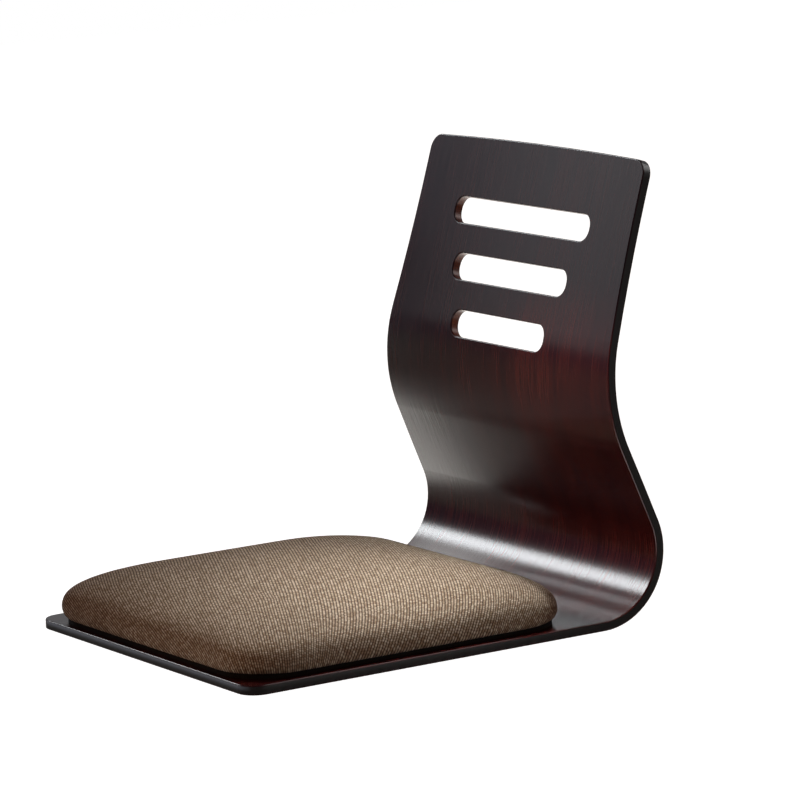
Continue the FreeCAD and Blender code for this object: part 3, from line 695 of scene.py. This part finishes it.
# A black flag over the cushion keeps the bend light off the strip of seat behind it, which the
# waist mirrors.
flag = {
    "x": (-0.3, 0.25),
    "y": (0.095, 0.134),
    "z": 0.066,
}


def makeFlag(settings):
    material, shader = newMaterial("black card")
    setInputs(shader, {"Base Color": grey(0.0), "Specular IOR Level": 0.0})
    card = flatCard("flag", *settings["x"], *settings["y"], settings["z"], material)
    card.visible_camera = False
    card.visible_diffuse = False


# White for the camera, an even fill for matt surfaces, and a dim room for the lacquer.
studio = {
    "fill": "7c5e4b",
    "front": "695d76",
    "rear": "b3b3b5",
    "above": "45454b",
    "walls": (0.25, 0.7),  # where the front wall ends and the rear wall starts, from 0 to 1
    "ceiling": (0.25, 0.45),  # sines of the angles between which the walls fade into it
}


def makeStudio(settings):
    world = bpy.data.worlds.new("studio")
    scene.world = world
    world.use_nodes = True
    tree = world.node_tree
    tree.nodes.remove(tree.nodes["Background"])
    outwards = addNode(tree, "ShaderNodeTexCoord").outputs["Generated"]
    axes = addNode(tree, "ShaderNodeSeparateXYZ", {"Vector": outwards})
    backwards = addNode(tree, "ShaderNodeMath", {
        0: axes.outputs["Y"], 1: 0.5, 2: 0.5,
    }, operation="MULTIPLY_ADD")
    frontEnd, rearStart = settings["walls"]
    walls = addNode(tree, "ShaderNodeValToRGB", {"Fac": backwards}, [
        (frontEnd, rgba(settings["front"])), (rearStart, rgba(settings["rear"])),
    ])
    wallTop, ceilingStart = settings["ceiling"]
    height = addNode(tree, "ShaderNodeMapRange", {
        "Value": axes.outputs["Z"], "From Min": wallTop, "From Max": ceilingStart,
    })
    room = addNode(tree, "ShaderNodeMix", {
        "Factor": height, mixA: walls, mixB: rgba(settings["above"]),
    }, data_type="RGBA")
    path = addNode(tree, "ShaderNodeLightPath")
    fill = addNode(tree, "ShaderNodeBackground", {"Color": rgba(settings["fill"])})
    mirrored = addNode(tree, "ShaderNodeBackground", {"Color": room.outputs[mixResult]})
    white = addNode(tree, "ShaderNodeBackground", {"Color": grey(1.0)})
    unseen = addNode(tree, "ShaderNodeMixShader", {
        "Fac": path.outputs["Is Glossy Ray"], 1: fill, 2: mirrored,
    })
    whole = addNode(tree, "ShaderNodeMixShader", {
        "Fac": path.outputs["Is Camera Ray"], 1: unseen, 2: white,
    })
    setInputs(tree.nodes["World Output"], {"Surface": whole})


# Cards that only the lacquer mirrors. Each faces its aim from a distance, on the side given.
cards = {
    "bend light": {
        "aim": (0, 0.2, 0.05), "side": (-0.8, -0.365, 0.485), "distance": 6.0,
        "size": (1.25, 1.45), "glow": 30, "colour": "f7fcff",
    },
    "right card": {
        "aim": (0.18, 0.2, 0.42), "side": (-0.8265, -0.539, 0.164), "distance": 1.0,
        "size": (0.28, 0.45), "glow": 0.9, "colour": "ffffff",
    },
    "upper card": {
        "aim": (-0.1, 0.2, 0.57), "side": (-0.8265, -0.5, 0.16), "distance": 0.95,
        "size": (0.7, 0.4), "glow": 0.3, "colour": "f3edff",
    },
    "left card": {
        "aim": (-0.13, 0.2, 0.235), "side": (-1, 0, 0), "distance": 0.29,
        "size": (0.2, 0.13), "glow": 4.5, "colour": "ffffff",
    },
    "top card": {
        "aim": (0.2, 0, 0), "side": (0.17, 0.54, 0.83), "distance": 1.5,
        "size": (1.0, 1.0), "glow": 5, "colour": "ffffff",
    },
    "arris card": {
        "aim": (0.38, -0.02, 0.105), "side": (0, 0, -1), "distance": 0.1,
        "size": (0.24, 0.35), "glow": 9, "colour": "ffffff",
    },
    "front card": {
        "aim": (-0.03, -0.28, 0.105), "side": (0, 0, -1), "distance": 0.1,
        "size": (0.46, 0.06), "glow": 1.43, "colour": "e9efff",
    },
}

# Lamps that only light the matt surfaces, and so shape the cushion.
lamps = {
    "cushion lamp": {
        "aim": (0.15, -0.02, 0.05), "side": (0, 0, 1), "distance": 0.36,
        "size": (0.15, 0.15), "glow": 27.37, "colour": "e6f6ff", "spread": 130,
    },
    "front lamp": {
        "aim": (0.11, -0.24, 0.03), "side": (0, -1, 0.1), "distance": 0.3,
        "size": (0.15, 0.1), "glow": 5, "colour": "ffead4", "spread": 180,
    },
}


# A rectangular light; its power follows from its glow and its area.
def softbox(name, settings):
    width, length = settings["size"]
    data = bpy.data.lights.new(name, "AREA")
    data.shape = "RECTANGLE"
    data.size = width
    data.size_y = length
    data.energy = settings["glow"] * width * length * math.pi
    data.color = rgba(settings["colour"])[:3]
    light = addObject(name, data)
    aim = Vector(settings["aim"])
    place = aim + Vector(settings["side"]).normalized() * settings["distance"]
    light.location = place
    light.rotation_euler = (place - aim).to_track_quat("Z", "Y").to_euler()
    light.visible_camera = False
    return light


makeFloor(stage)
makeFlag(flag)
makeStudio(studio)
for name, card in cards.items():
    light = softbox(name, card)
    light.visible_diffuse = False
for name, lamp in lamps.items():
    light = softbox(name, lamp)
    light.visible_glossy = False
    light.data.spread = math.radians(lamp["spread"])
print("studio lit")
